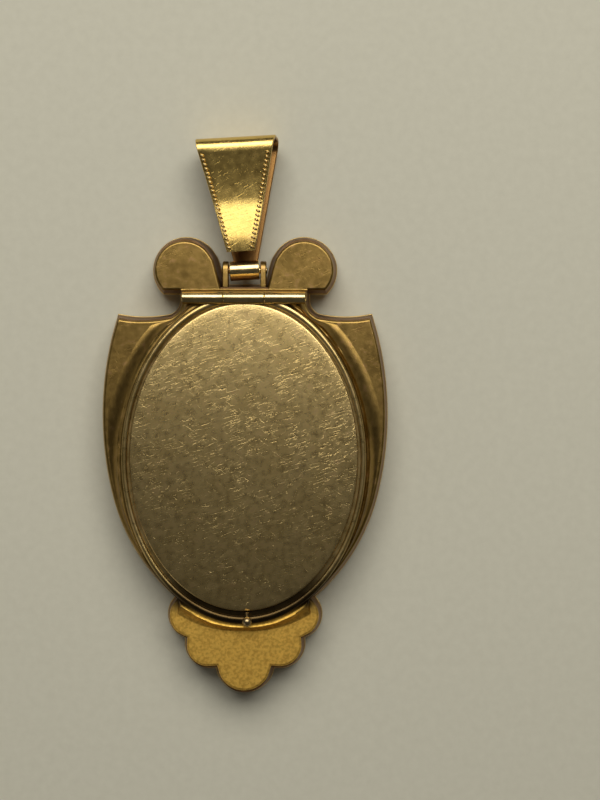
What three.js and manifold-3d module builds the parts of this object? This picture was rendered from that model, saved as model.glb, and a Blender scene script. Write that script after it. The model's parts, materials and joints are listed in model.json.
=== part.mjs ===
// A gold-filled shield locket, lying on its front: hinged oval lid on the back, swinging bail at the top.
// Millimetres, +Z up out of the locket's back, +Y towards the bail. Built about the centre of the oval.
import * as THREE from 'three';
import { mergeVertices } from 'three/addons/utils/BufferGeometryUtils.js';
import Module from 'manifold-3d';

const wasm = await Module();
wasm.setup();

// ---------------------------------------------------------------- driving dimensions
// Gaps
const solderGap = 0.03; // between pieces that are soldered or pressed together
const runningGap = 0.05; // between a pin and the bore that turns on it
const knuckleGap = 0.05; // between neighbouring hinge knuckles

// Oval lid
const lidHalfWidth = 11.5;
const lidHalfLength = 15.45;
const lidThickness = 0.6;
const lidEdgeRound = 0.2;
const flangeWall = 0.35;
const flangeDrop = 0.62;
const flangeGap = 0.05; // between the flange and the seat, where they are closest
const thumbBallRadius = 0.5;
const thumbBallReach = 0.95; // from the lid's edge to the ball's centre
const thumbBallX = 0.35;
const thumbStemRadius = 0.15;
const thumbStemGap = 0.06; // between the stem's end and the lid's edge
const thumbLift = 0.05; // of the ball and its stem above the ridge

// Oval seat around the lid
const seatGap = 0.09; // between the lid's edge and the ridge around it, where they are closest
const ridgeWidth = 0.56;
const ridgeRise = 0.4; // of the ridge above the ledge
const ridgeShoulder = 0.18; // of that rise, the straight part of the ridge's sides
const ledgeWidth = 0.79;
const seatDrop = 0.2; // the seat stands this much lower than the lid, towards the apron
const lidSeatGap = 0.05; // under the closed lid
const coveWidth = 1.0;
const coveSetDown = 0.2; // of the cove's top below the ridge
const coveLip = 0.08; // flat top of the cove beside the ridge

// Lid hinge
const barrelRadius = 0.6;
const barrelLength = 12.4;
const knuckleCount = 3;
const hingePinRadius = 0.25;
const hingeReach = 0.5; // of the hinge line beyond the lid's edge
const barrelSetDown = 0.35; // of the hinge line below the lid's face
const hingeSwingGap = 0.06; // around the barrel, in the case
const hingeSeatWidth = 0.6; // of the moulding that climbs to the barrel
const hingeSeatInset = 0.15; // of the moulding's foot from the notch's floor

// Stack of sheets, from the front up
const tabletThickness = 1.07;
const frontSheetThickness = 0.4;
const wallHeight = 2.32;
const wallThickness = 0.38;
const wallInset = 0.12;
const backSheetThickness = 0.4;
const rimHeight = 1.15; // of the ledge above the underside of the back sheet
const frontFlare = 0.35; // of the front sheet beyond the back sheet

// Shield outline of the back sheet
const sideBorder = 2.85; // from the lid's edge to the shield's widest place
const widestY = 4.25;
const sideRadius = 34;
const flankStartY = -4;
const shoulderDrop = 1.95; // of the shoulder's lowest point below the hinge line
const shoulderRadius = 13.9;
const neckMargin = 0.15; // of the neck beyond the barrel's end
const neckFillet = 1.8;
const earRadius = 3.1;
const earInset = 0.65; // from the notch's foot to the ear's inner side
const earRise = 3.15; // of the ear's centre above the hinge line
const earUnderRise = 1; // of the ear's lower edge above the hinge line
const notchRise = 1.35; // of the notch's floor above the hinge line
const notchSplay = 0.26; // sideways per millimetre of height
const notchSideGap = 0.08; // between a lug and the notch's side

// Scalloped apron: corners between its lobes, from the middle outwards
const middleLobeHalfWidth = 2.75;
const middleLobeCornerDrop = 5.95; // below the lid's lower edge
const lowerLobeHalfWidth = 5.75;
const lowerLobeCornerDrop = 3.05;
const sideLobeMargin = 0.59; // of the uppermost corner beyond the ridge
const sideLobeCornerRise = 0.95;
const middleLobeBulge = 2.65;
const sideLobeBulge = 1.35;

// Picture compartment
const cupWall = 0.3;
const cupFloor = 0.25;
const cupFootInset = 0.2; // of the cup's foot from the ridge's outer side
const cupFootGap = 0.05; // under the seat
const cupTopDrop = 0.1; // of the cup's top below the ledge
const cupGap = 0.15; // inside the lid's flange
const windowThickness = 0.4;
const fillGap = 0.1; // round the card and the window
const rimWidth = 0.5;
const rimThickness = 0.4;
const rimLidGap = 0.11; // between the retaining rim and the closed lid

// Front ornament
const tabletHalfWidth = 8.6;
const bezelWidth = 0.95;
const bezelThickness = 0.72;
const borderInset = 0.35;
const borderWidth = 0.5;
const borderThickness = 0.37;
const earStudRadius = 1.2;
const apronStudRadius = 1.5;
const studHeight = 0.75;
const studEdge = 0.15; // height of a stud's straight edge
const studGap = 0.1; // between an ear's stud and the border below it
const apronStudDrop = 4.1;

// Bail
const bailPinRadius = 0.33;
const bailPinLift = 0.1; // of the pin above the middle of the wall
const bailPinProud = 0.1; // of the pin's ends beyond the lugs
const bailSwingGap = 0.27; // between the bail's foot and the notch's floor
const tubeRadius = 1;
const tubeLength = 3;
const tubeBoreGap = 0.12;
const lugThickness = 0.6;
const lugGap = 0.12; // between the tube's end and the lug
const lugTopGap = 0.11; // between a lug and the back sheet's level
const bandThickness = 0.35;
const bandLength = 13.5; // from the pin to the fold
const bandTopHalfWidth = 4.1;
const bandFootHalfWidth = 1.55;
const bandBackEnd = 1.8; // above the pin
const bandFrontEnd = -0.2;
const bandTopDepth = 4.3;
const bandFoldRadius = 1.3;
const bandLean = THREE.MathUtils.degToRad(3.2);
const bandSkew = 0.5; // sideways shift of the front leaf from the back leaf
const beadPitch = 0.49;
const beadRadius = 0.2;
const beadWaist = 0.13;
const beadNotch = 0.06; // half the length of the waist between two beads
const beadInset = 0.42; // of the bead row from the band's edge
const beadTop = 11;
const beadFoot = 2.1;

// Facets
const arcTolerance = 0.03;
const ovalFacets = 56;
const roundFacets = 20;
const ballFacets = 14;
const stemFacets = 10;
const beadFacets = 6;
const coveSteps = 4;
const cutMargin = 1; // of a cutting shape beyond what it cuts

// ---------------------------------------------------------------- heights and places that follow
const frontSheetLow = tabletThickness + solderGap;
const frontSheetHigh = frontSheetLow + frontSheetThickness;
const wallLow = frontSheetHigh + solderGap;
const wallHigh = wallLow + wallHeight;
const backSheetLow = wallHigh + solderGap;
const backSheetHigh = backSheetLow + backSheetThickness;
const ledgeZ = backSheetLow + rimHeight;
const ridgeZ = ledgeZ + ridgeRise;
const lidLow = ledgeZ + lidSeatGap;
const lidHigh = lidLow + lidThickness;
const hingeY = lidHalfLength + hingeReach;
const hingeZ = lidHigh - barrelSetDown;
const bandFootDepth = 2 * (tubeRadius + solderGap + bandThickness);
const bailPinY = hingeY + notchRise + bandFootDepth / 2 + bailSwingGap;
const bailPinZ = (frontSheetHigh + wallHigh) / 2 + bailPinLift;
const lugRadius = wallHeight / 2 - bailPinLift - lugTopGap;
const ovalStretch = lidHalfLength / lidHalfWidth;
const seatShift = seatDrop / ovalStretch; // the seat's drop, as a growth of the oval's half width
const ridgeInner = lidHalfWidth + seatShift + seatGap;
const ridgeOuter = ridgeInner + ridgeWidth;
const seatInner = ridgeInner - ledgeWidth;
const flangeOuter = seatInner - seatShift - flangeGap;
const flangeInner = flangeOuter - flangeWall;
const lugInnerX = tubeLength / 2 + lugGap;
const lugOuterX = lugInnerX + lugThickness;

// ---------------------------------------------------------------- outlines made of arcs and lines
// A chain is a list of arcs and lines in counterclockwise order. Each hands over to the next near `end`.
function arcPiece(x, y, radius, side, end) {
  return { centre: new THREE.Vector2(x, y), radius, side, end };
}

function linePiece(x, y, normalX, normalY, end) {
  return { point: new THREE.Vector2(x, y), normal: new THREE.Vector2(normalX, normalY).normalize(), end };
}

function fixedLine(x, y, normalX, normalY, end) {
  return { ...linePiece(x, y, normalX, normalY, end), fixed: true };
}

function grown(piece, offset) {
  if (piece.fixed) return piece;
  if (piece.centre) return { ...piece, radius: piece.radius + piece.side * offset };
  return { ...piece, point: piece.point.clone().addScaledVector(piece.normal, offset) };
}

function meeting(a, b, near) {
  let foot;
  let along;
  let reach;
  if (a.centre && b.centre) {
    const between = b.centre.clone().sub(a.centre);
    const distance = between.length();
    const direction = between.divideScalar(distance);
    const share = (distance ** 2 + a.radius ** 2 - b.radius ** 2) / (2 * distance);
    foot = a.centre.clone().addScaledVector(direction, share);
    along = new THREE.Vector2(-direction.y, direction.x);
    reach = Math.sqrt(Math.max(0, a.radius ** 2 - share ** 2));
  } else if (a.centre || b.centre) {
    const round = a.centre ? a : b;
    const flat = a.centre ? b : a;
    const depth = flat.point.clone().sub(round.centre).dot(flat.normal);
    foot = round.centre.clone().addScaledVector(flat.normal, depth);
    along = new THREE.Vector2(-flat.normal.y, flat.normal.x);
    reach = Math.sqrt(Math.max(0, round.radius ** 2 - depth ** 2));
  } else {
    const direction = new THREE.Vector2(-a.normal.y, a.normal.x);
    const steps = b.point.clone().sub(a.point).dot(b.normal) / direction.dot(b.normal);
    return a.point.clone().addScaledVector(direction, steps);
  }
  const one = foot.clone().addScaledVector(along, reach);
  const other = foot.clone().addScaledVector(along, -reach);
  return one.distanceTo(near) < other.distanceTo(near) ? one : other;
}

// Where two lobes meet, an outline drawn further in goes round their corner in an arc.
function valley(corner) {
  return { ...arcPiece(corner.x, corner.y, 0, -1, corner), valley: true };
}

// Points along the inner pieces of an open chain, whose first and last pieces only say where it ends.
function follow(chain, offset) {
  const pieces = chain.map((piece) => grown(piece, offset));
  const points = [];
  for (let i = 1; i < pieces.length - 1; i += 1) {
    const piece = pieces[i];
    const from = meeting(pieces[i - 1], piece, pieces[i - 1].end);
    const to = meeting(piece, pieces[i + 1], piece.end);
    points.push(from);
    if (piece.centre) {
      const start = Math.atan2(from.y - piece.centre.y, from.x - piece.centre.x);
      const stop = Math.atan2(to.y - piece.centre.y, to.x - piece.centre.x);
      const turn = THREE.MathUtils.euclideanModulo((stop - start) * piece.side, 2 * Math.PI);
      const step = 2 * Math.acos(1 - arcTolerance / piece.radius);
      const count = Math.max(1, Math.ceil(turn / step));
      const { centre, radius, side } = piece;
      const curve = new THREE.EllipseCurve(centre.x, centre.y, radius, radius, start, stop, side < 0);
      points.push(...curve.getPoints(count).slice(1, -1));
    }
  }
  points.push(meeting(pieces.at(-2), pieces.at(-1), pieces.at(-2).end));
  return points;
}

function closedShape(chain, offset) {
  const drawn = chain.filter((piece) => !piece.valley || offset < 0);
  return new THREE.Shape(follow([drawn.at(-1), ...drawn, drawn[0]], offset).slice(0, -1));
}

// Arc through two corners that stands out from the chord by `bulge`.
function lobe(from, to, bulge) {
  const chord = to.clone().sub(from);
  const half = chord.length() / 2;
  const radius = (half ** 2 + bulge ** 2) / (2 * bulge);
  const outward = new THREE.Vector2(chord.y, -chord.x).normalize();
  const centre = from.clone().add(to).multiplyScalar(0.5).addScaledVector(outward, bulge - radius);
  return arcPiece(centre.x, centre.y, radius, 1, to);
}

function point(x, y) {
  return new THREE.Vector2(x, y);
}

// The same piece on the left side, traced in the opposite order.
function mirrored(piece, end) {
  const flip = (v) => point(-v.x, v.y);
  if (piece.centre) return { ...piece, centre: flip(piece.centre), end };
  return { ...piece, point: flip(piece.point), normal: flip(piece.normal), end };
}

// Distance of the ridge's outer side from the middle, at one height on the oval.
function ridgeX(y) {
  const share = (y + seatDrop) / (ridgeOuter * ovalStretch);
  return ridgeOuter * Math.sqrt(1 - share ** 2);
}

// Right half of the shield from the apron's lowest lobe up to the notch between the ears, then the left half.
function shieldChain() {
  const apronLine = -lidHalfLength;
  const middleCorner = point(middleLobeHalfWidth, apronLine - middleLobeCornerDrop);
  const lowerCorner = point(lowerLobeHalfWidth, apronLine - lowerLobeCornerDrop);
  const sideCornerY = apronLine + sideLobeCornerRise;
  const sideCorner = point(ridgeX(sideCornerY) + sideLobeMargin, sideCornerY);
  const sideReach = lidHalfWidth + sideBorder;
  const sideCentreX = sideReach - sideRadius;
  const flankStartX = sideCentreX + Math.sqrt(sideRadius ** 2 - (flankStartY - widestY) ** 2);
  const flankStart = point(flankStartX, flankStartY);
  const outward = point(flankStartX - sideCentreX, flankStartY - widestY).divideScalar(sideRadius);
  const toCorner = flankStart.clone().sub(sideCorner);
  const flankRadius = toCorner.lengthSq() / (2 * toCorner.dot(outward));
  const flankCentre = flankStart.clone().addScaledVector(outward, -flankRadius);
  const neckX = barrelLength / 2 + neckMargin;
  const shoulderX = (neckX + sideReach) / 2;
  const shoulderY = hingeY - shoulderDrop + shoulderRadius;
  const filletX = neckX + neckFillet;
  const filletDrop = Math.sqrt((shoulderRadius - neckFillet) ** 2 - (shoulderX - filletX) ** 2);
  const filletY = shoulderY - filletDrop;
  const notchX = lugOuterX + notchSideGap;
  const notchY = hingeY + notchRise;
  const earX = notchX + earInset + earRadius;
  const earY = hingeY + earRise;
  const earUnderY = hingeY + earUnderRise;
  const middle = lobe(point(-middleCorner.x, middleCorner.y), middleCorner, middleLobeBulge);
  const lower = lobe(middleCorner, lowerCorner, sideLobeBulge);
  const side = lobe(lowerCorner, sideCorner, sideLobeBulge);
  const flank = arcPiece(flankCentre.x, flankCentre.y, flankRadius, 1, flankStart);
  const shoulderCorner = point(sideReach, hingeY - shoulderDrop);
  const shieldSide = arcPiece(sideCentreX, widestY, sideRadius, 1, shoulderCorner);
  const shoulder = arcPiece(shoulderX, shoulderY, shoulderRadius, -1, point(filletX, filletY - neckFillet));
  const fillet = arcPiece(filletX, filletY, neckFillet, -1, point(neckX, filletY));
  const neck = linePiece(neckX, filletY, 1, 0, point(neckX, earUnderY));
  const earUnder = linePiece(neckX, earUnderY, 0, -1, point(earX + earRadius, earUnderY));
  const ear = arcPiece(earX, earY, earRadius, 1, point(notchX + earInset, earY));
  const notchSide = linePiece(notchX, notchY, -1, notchSplay, point(notchX, notchY));
  const notchFloor = linePiece(0, notchY, 0, 1, point(-notchX, notchY));
  const apron = [valley(middleCorner), lower, valley(lowerCorner), side, valley(sideCorner), flank];
  const right = [...apron, shieldSide, shoulder, fillet, neck, earUnder, ear, notchSide];
  const starts = [middleCorner, ...right.map((piece) => piece.end)];
  const left = right.map((piece, i) => mirrored(piece, point(-starts[i].x, starts[i].y))).reverse();
  return { chain: [middle, ...right, notchFloor, ...left], earX, notchY };
}

const { chain: shield, earX, notchY } = shieldChain();

// ---------------------------------------------------------------- solids
function solidOf(geometry) {
  const bare = geometry.index ? geometry.toNonIndexed() : geometry.clone();
  bare.deleteAttribute('normal');
  bare.deleteAttribute('uv');
  const merged = mergeVertices(bare, 1e-5);
  const corners = merged.index.array;
  const kept = [];
  for (let i = 0; i < corners.length; i += 3) {
    const [a, b, c] = corners.slice(i, i + 3);
    if (a !== b && b !== c && c !== a) kept.push(a, b, c);
  }
  const vertProperties = new Float32Array(merged.attributes.position.array);
  const mesh = new wasm.Mesh({ numProp: 3, vertProperties, triVerts: new Uint32Array(kept) });
  return new wasm.Manifold(mesh);
}

function geometryOf(solid) {
  const mesh = solid.getMesh();
  const geometry = new THREE.BufferGeometry();
  geometry.setAttribute('position', new THREE.BufferAttribute(new Float32Array(mesh.vertProperties), 3));
  geometry.setIndex(new THREE.BufferAttribute(new Uint32Array(mesh.triVerts), 1));
  geometry.computeVertexNormals();
  return geometry;
}

function slab(shape, low, high) {
  const geometry = new THREE.ExtrudeGeometry(shape, { depth: high - low, bevelEnabled: false });
  return geometry.translate(0, 0, low);
}

function withHole(shape, hole) {
  shape.holes.push(new THREE.Path(hole.getPoints().reverse()));
  return shape;
}

// Turned ring or disc stretched into an oval. The profile is a list of [half width, height] corners.
function oval(profile, shift) {
  const corners = profile.map(([x, z]) => new THREE.Vector2(x, z));
  const geometry = new THREE.LatheGeometry(corners, ovalFacets);
  geometry.rotateX(Math.PI / 2);
  geometry.scale(1, ovalStretch, 1);
  return geometry.translate(0, -shift, 0);
}

function ovalDisc(halfWidth, low, high) {
  return oval([[0, low], [halfWidth, low], [halfWidth, high], [0, high]], 0);
}

function ovalRing(inner, outer, low, high, shift) {
  return oval([[inner, low], [outer, low], [outer, high], [inner, high], [inner, low]], shift);
}

function ovalCutter(halfWidth, shift) {
  const height = lidHigh + barrelRadius;
  return solidOf(oval([[0, 0], [halfWidth, 0], [halfWidth, height], [0, height]], shift));
}

// Round bar along X.
function barAlongX(radius, from, to, y, z) {
  const geometry = new THREE.CylinderGeometry(radius, radius, to - from, roundFacets);
  geometry.rotateZ(Math.PI / 2);
  return geometry.translate((from + to) / 2, y, z);
}

// Round tube along X, turned from a closed rectangle.
function tubeAlongX(bore, radius, from, to, y, z) {
  const low = -(to - from) / 2;
  const profile = [[bore, low], [radius, low], [radius, -low], [bore, -low], [bore, low]];
  const corners = profile.map(([x, along]) => new THREE.Vector2(x, along));
  const geometry = new THREE.LatheGeometry(corners, roundFacets);
  geometry.rotateZ(-Math.PI / 2);
  return geometry.translate((from + to) / 2, y, z);
}

// A section drawn in the Y-Z plane and drawn out along X.
function alongX(shape, from, to) {
  const geometry = new THREE.ExtrudeGeometry(shape, { depth: to - from, bevelEnabled: false });
  const turn = new THREE.Matrix4().makeBasis(
    new THREE.Vector3(0, 1, 0),
    new THREE.Vector3(0, 0, 1),
    new THREE.Vector3(1, 0, 0),
  );
  geometry.applyMatrix4(turn);
  return geometry.translate(from, 0, 0);
}

// ---------------------------------------------------------------- finishes
function gold(color, roughness) {
  return new THREE.MeshStandardMaterial({ color, roughness, metalness: 1 });
}

const finishes = {
  lid: () => gold(0xc2a66a, 0.3),
  case: () => gold(0xb08a45, 0.4),
  ornament: () => gold(0xc59a4a, 0.35),
  bail: () => gold(0xc9a24a, 0.3),
  card: () => new THREE.MeshStandardMaterial({ color: 0xd9cdb0, roughness: 0.9, metalness: 0 }),
  window: () => new THREE.MeshStandardMaterial({ color: 0xe6efec, roughness: 0.1, metalness: 0 }),
};

function addPart(group, name, geometry, finish) {
  const mesh = new THREE.Mesh(geometry, finishes[finish]());
  mesh.name = name;
  group.add(mesh);
  return mesh;
}

// ---------------------------------------------------------------- case
// Concave moulding that climbs from the flat of the back sheet to the oval rim.
function coveProfile(inner, width, low, flat, top) {
  const profile = [[inner, low], [inner + width, low], [inner + width, flat]];
  for (let i = 1; i <= coveSteps; i += 1) {
    const angle = (i / coveSteps) * (Math.PI / 2);
    const x = inner + width - (width - coveLip) * Math.sin(angle);
    profile.push([x, top - (top - flat) * Math.cos(angle)]);
  }
  profile.push([inner, top], [inner, low]);
  return profile;
}

function hingeCutter(radius, halfLength) {
  return solidOf(barAlongX(radius, -halfLength, halfLength, hingeY, hingeZ));
}

// Section of the moulding that climbs from the neck to the hinge barrel.
function hingeSeat() {
  const inner = hingeY - barrelRadius;
  const foot = notchY - hingeSeatInset;
  const section = new THREE.Shape();
  section.moveTo(inner, backSheetLow);
  section.lineTo(foot, backSheetLow);
  for (let i = 0; i <= coveSteps; i += 1) {
    const angle = (i / coveSteps) * (Math.PI / 2);
    const z = hingeZ - (hingeZ - backSheetHigh) * Math.cos(angle);
    section.lineTo(foot - hingeSeatWidth * Math.sin(angle), z);
  }
  section.lineTo(inner, hingeZ);
  return section;
}

function backSheet() {
  const holeHalfWidth = ridgeOuter + solderGap;
  const coveTop = ridgeZ - coveSetDown;
  const outline = closedShape(shield, 0);
  const flat = solidOf(slab(outline, backSheetLow, backSheetHigh));
  const cove = solidOf(oval(coveProfile(holeHalfWidth, coveWidth, backSheetLow, backSheetHigh, coveTop), seatDrop));
  const tall = solidOf(slab(outline, backSheetLow, lidHigh));
  const barrelHalf = barrelLength / 2;
  const seat = solidOf(alongX(hingeSeat(), -barrelHalf, barrelHalf));
  const whole = flat.add(cove.intersect(tall)).add(seat);
  const barrelCut = hingeCutter(barrelRadius + hingeSwingGap, barrelHalf + hingeSwingGap);
  return geometryOf(whole.subtract(ovalCutter(holeHalfWidth, seatDrop)).subtract(barrelCut));
}

function seatRing() {
  const ridgeMiddle = (ridgeInner + ridgeOuter) / 2;
  const shoulderZ = ledgeZ + ridgeShoulder;
  const profile = [[seatInner, backSheetLow], [ridgeOuter, backSheetLow]];
  for (let i = 0; i <= coveSteps; i += 1) {
    const angle = (i / coveSteps) * Math.PI;
    const x = ridgeMiddle + (ridgeWidth / 2) * Math.cos(angle);
    profile.push([x, shoulderZ + (ridgeZ - shoulderZ) * Math.sin(angle)]);
  }
  profile.push([ridgeInner, ledgeZ], [seatInner, ledgeZ], [seatInner, backSheetLow]);
  const barrelCut = hingeCutter(barrelRadius + hingeSwingGap, barrelLength / 2 + hingeSwingGap);
  return geometryOf(solidOf(oval(profile, seatDrop)).subtract(barrelCut));
}

function sideBand() {
  const outer = closedShape(shield, -wallInset);
  const inner = closedShape(shield, -wallInset - wallThickness);
  return slab(withHole(outer, inner), wallLow, wallHigh);
}

function frontBorder() {
  const outer = closedShape(shield, -borderInset);
  const inner = closedShape(shield, -borderInset - borderWidth);
  return slab(withHole(outer, inner), tabletThickness - borderThickness, tabletThickness);
}

// Low dome hanging from the front sheet.
function stud(radius, x, y) {
  const profile = [new THREE.Vector2(0, 0), new THREE.Vector2(radius, 0)];
  for (let i = 1; i <= coveSteps; i += 1) {
    const angle = (i / coveSteps) * (Math.PI / 2);
    const ringRadius = i === coveSteps ? 0 : radius * Math.cos(angle);
    profile.push(new THREE.Vector2(ringRadius, studEdge + (studHeight - studEdge) * Math.sin(angle)));
  }
  const geometry = new THREE.LatheGeometry(profile, roundFacets);
  geometry.rotateX(-Math.PI / 2);
  return geometry.translate(x, y, tabletThickness);
}

function addFront(group) {
  addPart(group, 'front_sheet', slab(closedShape(shield, frontFlare), frontSheetLow, frontSheetHigh), 'ornament');
  addPart(group, 'front_border', frontBorder(), 'ornament');
  const bezelInner = tabletHalfWidth + solderGap;
  const bezelLow = tabletThickness - bezelThickness;
  const bezel = ovalRing(bezelInner, bezelInner + bezelWidth, bezelLow, tabletThickness, 0);
  addPart(group, 'front_bezel', bezel, 'ornament');
  addPart(group, 'front_tablet', ovalDisc(tabletHalfWidth, 0, tabletThickness), 'ornament');
  const earBorderY = hingeY + earUnderRise + borderInset + borderWidth;
  const earStudY = earBorderY + studGap + earStudRadius;
  addPart(group, 'ear_stud_left', stud(earStudRadius, -earX, earStudY), 'ornament');
  addPart(group, 'ear_stud_right', stud(earStudRadius, earX, earStudY), 'ornament');
  addPart(group, 'apron_stud', stud(apronStudRadius, 0, -lidHalfLength - apronStudDrop), 'ornament');
}

// ---------------------------------------------------------------- picture compartment
function addCompartment(group) {
  const cupOuter = flangeInner - cupGap;
  const cupInner = cupOuter - cupWall;
  const footHigh = backSheetLow - cupFootGap;
  const footLow = footHigh - cupFloor;
  const footReach = ridgeOuter - cupFootInset;
  const wallTop = ledgeZ - cupTopDrop;
  const cupProfile = [
    [0, footLow],
    [footReach, footLow],
    [footReach, footHigh],
    [cupOuter, footHigh],
    [cupOuter, wallTop],
    [cupInner, wallTop],
    [cupInner, footHigh],
    [0, footHigh],
  ];
  addPart(group, 'picture_cup', oval(cupProfile, 0), 'case');
  // The card fills what the window and the retaining rim leave of the cup's depth.
  const fill = cupInner - fillGap;
  const rimLow = lidLow - rimLidGap - rimThickness;
  const windowHigh = rimLow - solderGap;
  const windowLow = windowHigh - windowThickness;
  const cardLow = footHigh + solderGap;
  addPart(group, 'picture_card', ovalDisc(fill, cardLow, windowLow - solderGap), 'card');
  addPart(group, 'picture_window', ovalDisc(fill, windowLow, windowHigh), 'window');
  const rim = ovalRing(fill - rimWidth, fill + fillGap / 2, rimLow, rimLow + rimThickness, 0);
  addPart(group, 'retaining_rim', rim, 'ornament');
}

// ---------------------------------------------------------------- lid and its hinge
function lidPlate() {
  const roundShare = lidEdgeRound * (1 - Math.SQRT1_2);
  const profile = [
    [0, lidLow],
    [lidHalfWidth, lidLow],
    [lidHalfWidth, lidHigh - lidEdgeRound],
    [lidHalfWidth - roundShare, lidHigh - roundShare],
    [lidHalfWidth - lidEdgeRound, lidHigh],
    [0, lidHigh],
  ];
  const knuckleHalf = barrelLength / knuckleCount / 2;
  return geometryOf(solidOf(oval(profile, 0)).subtract(hingeCutter(barrelRadius + solderGap, knuckleHalf)));
}

function thumbPiece() {
  const ball = new THREE.SphereGeometry(thumbBallRadius, ballFacets, ballFacets);
  const ballY = -lidHalfLength - thumbBallReach;
  ball.translate(thumbBallX, ballY, ridgeZ + thumbLift + thumbBallRadius);
  const stemLength = thumbBallReach - thumbStemGap;
  const stem = new THREE.CylinderGeometry(thumbStemRadius, thumbStemRadius, stemLength, stemFacets);
  stem.translate(thumbBallX, ballY + stemLength / 2, ridgeZ + thumbLift + thumbStemRadius);
  return geometryOf(solidOf(ball).add(solidOf(stem)));
}

function addHinge(caseGroup, lidGroup) {
  const pitch = barrelLength / knuckleCount;
  const names = ['case_knuckle_left', 'lid_knuckle', 'case_knuckle_right'];
  names.forEach((name, i) => {
    const from = -barrelLength / 2 + i * pitch + knuckleGap / 2;
    const to = from + pitch - knuckleGap;
    const tube = tubeAlongX(hingePinRadius + runningGap, barrelRadius, from, to, hingeY, hingeZ);
    addPart(i === 1 ? lidGroup : caseGroup, name, tube, 'case');
  });
  const pinHalf = barrelLength / 2 - knuckleGap;
  addPart(caseGroup, 'lid_hinge_pin', barAlongX(hingePinRadius, -pinHalf, pinHalf, hingeY, hingeZ), 'case');
}

function addLid(group) {
  addPart(group, 'lid_plate', lidPlate(), 'lid');
  const flangeHigh = lidLow - solderGap;
  const flange = ovalRing(flangeInner, flangeOuter, flangeHigh - flangeDrop, flangeHigh, 0);
  addPart(group, 'lid_snap_flange', flange, 'lid');
  addPart(group, 'thumb_ball', thumbPiece(), 'lid');
}

// ---------------------------------------------------------------- lugs, pin and bail
function lug(from) {
  const footY = notchY - wallInset + solderGap;
  const section = new THREE.Shape();
  section.moveTo(footY, bailPinZ + lugRadius);
  section.lineTo(footY, bailPinZ - lugRadius);
  section.lineTo(bailPinY, bailPinZ - lugRadius);
  section.absarc(bailPinY, bailPinZ, lugRadius, -Math.PI / 2, Math.PI / 2, false);
  const hole = new THREE.Path();
  hole.absarc(bailPinY, bailPinZ, bailPinRadius + solderGap, 0, 2 * Math.PI, true);
  section.holes.push(hole);
  return alongX(section, from, from + lugThickness);
}

function bandHalfWidth(y) {
  const share = (y - bandBackEnd) / (bandLength - bandBackEnd);
  return bandFootHalfWidth + (bandTopHalfWidth - bandFootHalfWidth) * share;
}

// Distance of the back leaf's outer face from the bail's middle plane.
function bandHalfDepth(y) {
  return bandFootDepth / 2 + ((bandTopDepth - bandFootDepth) / 2) * (y / bandLength);
}

// Strip folded over at the top: outline of its side view, then cut to the tapered front view.
function bailBand() {
  const slope = (bandTopDepth - bandFootDepth) / 2 / bandLength;
  const lean = Math.atan(slope);
  const foldY = bandLength - bandFoldRadius;
  const cornerZ = bandHalfDepth(foldY) - bandFoldRadius / Math.cos(lean);
  const foot = bandFootDepth / 2;
  const chain = [
    fixedLine(bandFrontEnd, 0, -1, 0, point(bandFrontEnd, -foot)),
    linePiece(0, -foot, -slope, -1, point(foldY, -bandHalfDepth(foldY))),
    arcPiece(foldY, -cornerZ, bandFoldRadius, 1, point(bandLength, -cornerZ)),
    linePiece(bandLength, 0, 1, 0, point(bandLength, cornerZ)),
    arcPiece(foldY, cornerZ, bandFoldRadius, 1, point(foldY, bandHalfDepth(foldY))),
    linePiece(0, foot, -slope, 1, point(bandBackEnd, foot)),
    fixedLine(bandBackEnd, 0, -1, 0, point(bandBackEnd, foot)),
  ];
  const section = new THREE.Shape([...follow(chain, 0), ...follow(chain, -bandThickness).reverse()]);
  const strip = solidOf(alongX(section, -bandTopHalfWidth - cutMargin, bandTopHalfWidth + cutMargin));
  const low = bandFrontEnd - cutMargin;
  const high = bandLength + cutMargin;
  const face = new THREE.Shape([
    point(-bandHalfWidth(low), low),
    point(bandHalfWidth(low), low),
    point(bandHalfWidth(high), high),
    point(-bandHalfWidth(high), high),
  ]);
  const taper = solidOf(slab(face, -bandTopDepth, bandTopDepth));
  return geometryOf(strip.intersect(taper));
}

// Row of small beads along one edge of one leaf.
function beadRow(side, leaf) {
  const from = new THREE.Vector3(side * (bandHalfWidth(beadFoot) - beadInset), beadFoot, 0);
  const to = new THREE.Vector3(side * (bandHalfWidth(beadTop) - beadInset), beadTop, 0);
  from.z = leaf * (bandHalfDepth(beadFoot) + beadRadius + solderGap);
  to.z = leaf * (bandHalfDepth(beadTop) + beadRadius + solderGap);
  const count = Math.round(from.distanceTo(to) / beadPitch);
  const pitch = from.distanceTo(to) / count;
  const profile = [new THREE.Vector2(0, 0)];
  for (let i = 0; i < count; i += 1) {
    profile.push(new THREE.Vector2(beadWaist, i * pitch + beadNotch));
    profile.push(new THREE.Vector2(beadRadius, (i + 0.5) * pitch));
  }
  profile.push(new THREE.Vector2(beadWaist, count * pitch - beadNotch));
  profile.push(new THREE.Vector2(0, count * pitch));
  const geometry = new THREE.LatheGeometry(profile, beadFacets);
  const direction = to.clone().sub(from).normalize();
  const turn = new THREE.Quaternion().setFromUnitVectors(new THREE.Vector3(0, 1, 0), direction);
  geometry.applyQuaternion(turn);
  return geometry.translate(from.x, from.y, from.z);
}

function skewed(geometry) {
  const share = -bandSkew / bandTopDepth;
  return geometry.applyMatrix4(new THREE.Matrix4().makeShear(0, 0, 0, 0, share, 0));
}

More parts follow.
